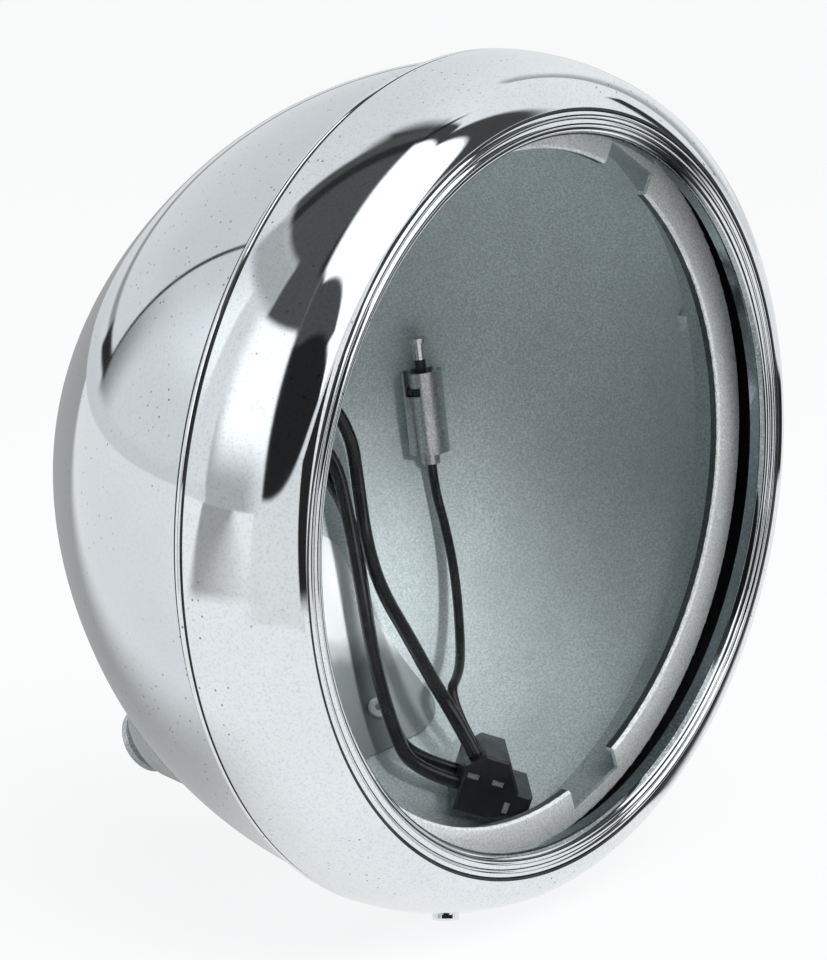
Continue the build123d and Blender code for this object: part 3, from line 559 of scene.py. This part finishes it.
# Floor and studio: a pale paper floor whose tones, seen only in reflections, are painted reflections and a
# painted shadow; a softbox overhead, a dark room in front and light walls
class Tones:
    """Grey tones laid over one another in a shader, each where some straight edges bound it."""

    def __init__(self, tree, vector, ground):
        self.tree = tree
        self.vector = vector
        self.tone = ground

    def node(self, kind, operation=None):
        node = self.tree.nodes.new(kind)
        if operation:
            node.operation = operation
        return node

    def ramp(self, value, low, high):
        """0 below low, 1 above high."""
        step = self.node("ShaderNodeMapRange")
        step.interpolation_type = "SMOOTHSTEP"
        step.inputs["From Min"].default_value = low
        step.inputs["From Max"].default_value = high
        self.tree.links.new(value, step.inputs["Value"])
        return step.outputs["Result"]

    def side_of(self, normal, level=0.0, soft=0.02):
        """1 past a plane with this normal, 0 on its other side."""
        dot = self.node("ShaderNodeVectorMath", "DOT_PRODUCT")
        dot.inputs[1].default_value = normal
        self.tree.links.new(self.vector, dot.inputs[0])
        return self.ramp(dot.outputs["Value"], level - soft, level + soft)

    def past(self, azimuth, soft=0.02):
        """1 within the half turn clockwise of an azimuth, seen from above."""
        a = math.radians(azimuth)
        return self.side_of((math.cos(a), math.sin(a), 0), 0.0, soft)

    def before(self, azimuth, soft=0.02):
        a = math.radians(azimuth)
        return self.side_of((-math.cos(a), -math.sin(a), 0), 0.0, soft)

    def above(self, elevation, soft=0.02):
        return self.side_of((0, 0, 1), math.sin(math.radians(elevation)), soft)

    def below(self, elevation, soft=0.02):
        return self.side_of((0, 0, -1), -math.sin(math.radians(elevation)), soft)

    def slanted(self, azimuth, tilt, side=1, soft=0.02):
        """1 above a straight edge that crosses the horizon at an azimuth and rises to its left."""
        a, t = math.radians(azimuth), math.radians(tilt)
        normal = Vector((math.sin(t) * math.cos(a), math.sin(t) * math.sin(a), math.cos(t)))
        return self.side_of(side * normal, 0.0, soft)

    def farther(self, distance, soft):
        """1 beyond a distance from the middle."""
        length = self.node("ShaderNodeVectorMath", "LENGTH")
        self.tree.links.new(self.vector, length.inputs[0])
        return self.ramp(length.outputs["Value"], distance - soft, distance + soft)

    def paint(self, level, *masks):
        """Lays one tone over what is under it where all the masks hold."""
        mask = masks[0]
        for other in masks[1:]:
            product = self.node("ShaderNodeMath", "MULTIPLY")
            self.tree.links.new(mask, product.inputs[0])
            self.tree.links.new(other, product.inputs[1])
            mask = product.outputs["Value"]
        layer = self.node("ShaderNodeMix")
        layer.data_type = "FLOAT"
        self.tree.links.new(mask, layer.inputs["Factor"])
        if isinstance(self.tone, float):
            layer.inputs[2].default_value = self.tone
        else:
            self.tree.links.new(self.tone, layer.inputs[2])
        layer.inputs[3].default_value = level
        self.tone = layer.outputs[0]


def larger(tree, first, second):
    """The larger of two values."""
    pick = tree.nodes.new("ShaderNodeMath")
    pick.operation = "MAXIMUM"
    tree.links.new(first, pick.inputs[0])
    tree.links.new(second, pick.inputs[1])
    return pick.outputs["Value"]


FLOOR_LEVEL = cad_box[0].z - 0.0005
bpy.ops.mesh.primitive_plane_add(size=12.0, location=(0, MM * seam_centre.y, FLOOR_LEVEL))
floor = bpy.context.object
floor.name = "floor"
floor_material = bpy.data.materials.new("floor_with_painted_reflections")
floor_material.use_nodes = True
floor.data.materials.append(floor_material)
paper_tree = floor_material.node_tree
paper = paper_tree.nodes["Principled BSDF"]
paper.inputs["Base Color"].default_value = (0.86, 0.86, 0.86, 1)
paper.inputs["Roughness"].default_value = 0.9
floor_reflection_tones = Tones(paper_tree, paper_tree.nodes.new("ShaderNodeTexCoord").outputs["Object"], 0.91)
# Tones the floor shows only in reflections: painted reflections
floor_reflection_tones.paint(
    0.79,
    floor_reflection_tones.past(-88),
    floor_reflection_tones.before(8),
    floor_reflection_tones.farther(0.27, 0.01),
)
floor_reflection_tones.paint(
    0.36,
    floor_reflection_tones.past(-119),
    floor_reflection_tones.before(-100, 0.15),
    floor_reflection_tones.farther(0.33, 0.03),
)
floor_reflection_tones.paint(
    0.40,
    floor_reflection_tones.side_of((0.955, -0.297, 0), -0.122, 0.035),
    floor_reflection_tones.side_of((0, 1, 0), 0.03, 0.05),
    floor_reflection_tones.past(112, 0.2),
)
floor_reflection_tones.paint(
    0.02,
    floor_reflection_tones.past(0),
    floor_reflection_tones.before(27),
    floor_reflection_tones.farther(0.33, 0.03),
)
# Dark sector just beside the lamp, seen in reflections: painted shadow of the lamp on the floor
floor_reflection_tones.paint(
    0.02,
    floor_reflection_tones.past(40),
    floor_reflection_tones.before(70),
    floor_reflection_tones.farther(0.09, 0.008),
)
floor_reflection_tones.paint(
    1.05,
    floor_reflection_tones.past(52),
    floor_reflection_tones.before(65),
    floor_reflection_tones.farther(0.20, 0.03),
)
floor_reflection_tones.paint(
    0.02,
    floor_reflection_tones.past(52),
    floor_reflection_tones.before(65),
    floor_reflection_tones.farther(0.44, 0.04),
)
floor_reflection_tones.paint(
    0.02,
    floor_reflection_tones.past(56),
    floor_reflection_tones.before(86, 0.05),
    floor_reflection_tones.farther(0.52, 0.03),
)
floor_reflection_tones.paint(
    0.87,
    floor_reflection_tones.past(62),
    floor_reflection_tones.before(95),
    floor_reflection_tones.farther(0.95, 0.06),
)
path = paper_tree.nodes.new("ShaderNodeLightPath")
glow = paper_tree.nodes.new("ShaderNodeEmission")
glow.inputs["Color"].default_value = (0.99, 0.995, 1.0, 1)
paper_tree.links.new(
    larger(paper_tree, path.outputs["Is Camera Ray"], floor_reflection_tones.tone), glow.inputs["Strength"]
)
mix = paper_tree.nodes.new("ShaderNodeMixShader")
share = paper_tree.nodes.new("ShaderNodeMath")
share.operation = "MULTIPLY"
share.inputs[1].default_value = 0.85
paper_tree.links.new(path.outputs["Is Camera Ray"], share.inputs[0])
looked_at = larger(paper_tree, path.outputs["Is Glossy Ray"], path.outputs["Is Transmission Ray"])
paper_tree.links.new(larger(paper_tree, share.outputs["Value"], looked_at), mix.inputs["Fac"])
paper_tree.links.new(paper.outputs["BSDF"], mix.inputs[1])
paper_tree.links.new(glow.outputs["Emission"], mix.inputs[2])
paper_tree.links.new(mix.outputs["Shader"], paper_tree.nodes["Material Output"].inputs["Surface"])

world = bpy.data.worlds.new("studio")
bpy.context.scene.world = world
world.use_nodes = True
world.cycles.sampling_method = "NONE"
sky = world.node_tree
room = Tones(sky, sky.nodes.new("ShaderNodeTexCoord").outputs["Generated"], 0.79)
room.paint(0.90, room.past(40), room.before(125, 0.2))
room.paint(0.06, room.above(71.5), room.past(20))
room.paint(0.06, room.past(10), room.side_of((-0.615, -0.773, -0.154)), room.above(0))
room.paint(
    0.06,
    room.side_of((-0.900, -0.354, 0.255)),
    room.above(55),
    room.past(10),
    room.before(150),
)
streak = Vector((0.500, 0.795, -0.344))
room.paint(
    0.03,
    room.side_of(streak, 0, 0.008),
    room.side_of(-streak, -0.06, 0.008),
    room.past(40),
    room.below(17),
)
haze = Vector((0.321, 0.790, -0.524))
room.paint(
    0.42,
    room.side_of(haze),
    room.side_of(-haze, -0.16, 0.14),
    room.past(66),
    room.before(112),
    room.below(48),
)
ceiling_edge = Vector((-0.717, -0.650, 0.249))
room.paint(0.085, room.above(56), room.before(-80), room.side_of(ceiling_edge))
room.paint(
    0.028,
    room.side_of(ceiling_edge, 0.07),
    room.side_of(-ceiling_edge, -0.14),
    room.above(56),
    room.before(-120),
)
room.paint(0.085, room.above(41.5), room.before(-83), room.past(-112, 0.03))
room.paint(
    0.45,
    room.above(44, 0.03),
    room.below(56, 0.02),
    room.before(-112),
    room.past(-155, 0.03),
)
room.paint(0.03, room.above(57), room.past(-89), room.before(-80))
room.paint(0.075, room.past(-84), room.before(18), room.above(2))
room.paint(0.018, room.past(-84), room.before(34), room.above(2), room.slanted(17.6, 39.4, -1))
room.paint(
    1.5,
    room.past(-7),
    room.before(40),
    room.side_of((-0.287, -0.264, -0.921)),
    room.slanted(17.6, 39.4),
)
room.paint(
    1.55,
    room.side_of((-0.755, -0.645, -0.121)),
    room.slanted(13.6, 55.6),
    room.past(-80),
    room.below(58.5),
)
room.paint(
    1.55,
    room.side_of((-0.953, -0.261, 0.154)),
    room.side_of((0.174, -0.985, 0), -0.03),
    room.above(57.5),
)
room.paint(0.45, room.before(-90, 0.12), room.past(-119), room.below(20, 0.16))
room.paint(1.25, room.before(-85), room.past(-116, 0.09), room.above(11, 0.13), room.below(42))
fold = Vector((-0.908, 0.129, -0.397))
behind = room.side_of((0, 1, 0))
room.paint(
    0.28,
    room.side_of(fold, 0.02, 0.01),
    room.side_of(-fold, -0.12, 0.10),
    room.below(16, 0.16),
    behind,
)
room.paint(
    1.10,
    room.side_of(fold, 0.24, 0.16),
    room.above(20, 0.16),
    room.below(43),
    room.before(-132),
    behind,
)
room.paint(
    0.05,
    room.side_of(fold, 0.008, 0.004),
    room.side_of(-fold, -0.024, 0.004),
    room.above(3),
    room.below(39),
    behind,
)
room.paint(0.35, room.above(4.5, 0.008), room.below(6.5, 0.008), room.past(130), room.before(168))
room.paint(0.03, room.above(3.2, 0.008), room.below(6.2, 0.008), room.past(166), room.before(176))
room.paint(0.80, room.below(2), room.before(44), room.past(-84))
room.paint(0.74, room.below(2), room.past(62), room.before(242))
back = sky.nodes["Background"]
back.inputs["Color"].default_value = (0.97, 0.99, 1.0, 1)
sky.links.new(room.tone, back.inputs["Strength"])
white = sky.nodes.new("ShaderNodeBackground")
white.inputs["Color"].default_value = (1, 1, 1, 1)
choose = sky.nodes.new("ShaderNodeMixShader")
sky.links.new(sky.nodes.new("ShaderNodeLightPath").outputs["Is Camera Ray"], choose.inputs["Fac"])
sky.links.new(back.outputs["Background"], choose.inputs[1])
sky.links.new(white.outputs["Background"], choose.inputs[2])
sky.links.new(choose.outputs["Shader"], sky.nodes["World Output"].inputs["Surface"])


def softbox(name, azimuth, elevation, distance, size, watts):
    """Area lamp aimed at the lamp's centre, left out of reflections."""
    data = bpy.data.lights.new(name, "AREA")
    data.shape = "SQUARE"
    data.size = size
    data.energy = watts
    lamp = bpy.data.objects.new(name, data)
    towards = direction(azimuth, elevation)
    lamp.location = MM * seam_centre + distance * towards
    lamp.rotation_euler = towards.to_track_quat("Z", "Y").to_euler()
    lamp.visible_glossy = False
    bpy.context.scene.collection.objects.link(lamp)


softbox("key", -20, 50, 1.6, 1.0, 12.0)
softbox("fill", -95, 12, 1.6, 1.0, 10.0)

# Narrow beam on the mount plate and the bowl's inside around it
BEAM_DISTANCE = 1.0
beam_data = bpy.data.lights.new("beam", "SPOT")
beam_data.energy = 50.0
beam_data.spot_size = math.radians(6.5)
beam_data.spot_blend = 1.0
beam_data.shadow_soft_size = 0.03
beam = bpy.data.objects.new("beam", beam_data)
beam_target = in_lamp((42, 78, -50))[0]
beam_way = direction(-34, 18)
beam.location = beam_target + BEAM_DISTANCE * beam_way
beam.rotation_euler = beam_way.to_track_quat("Z", "Y").to_euler()
beam.visible_glossy = False
bpy.context.scene.collection.objects.link(beam)
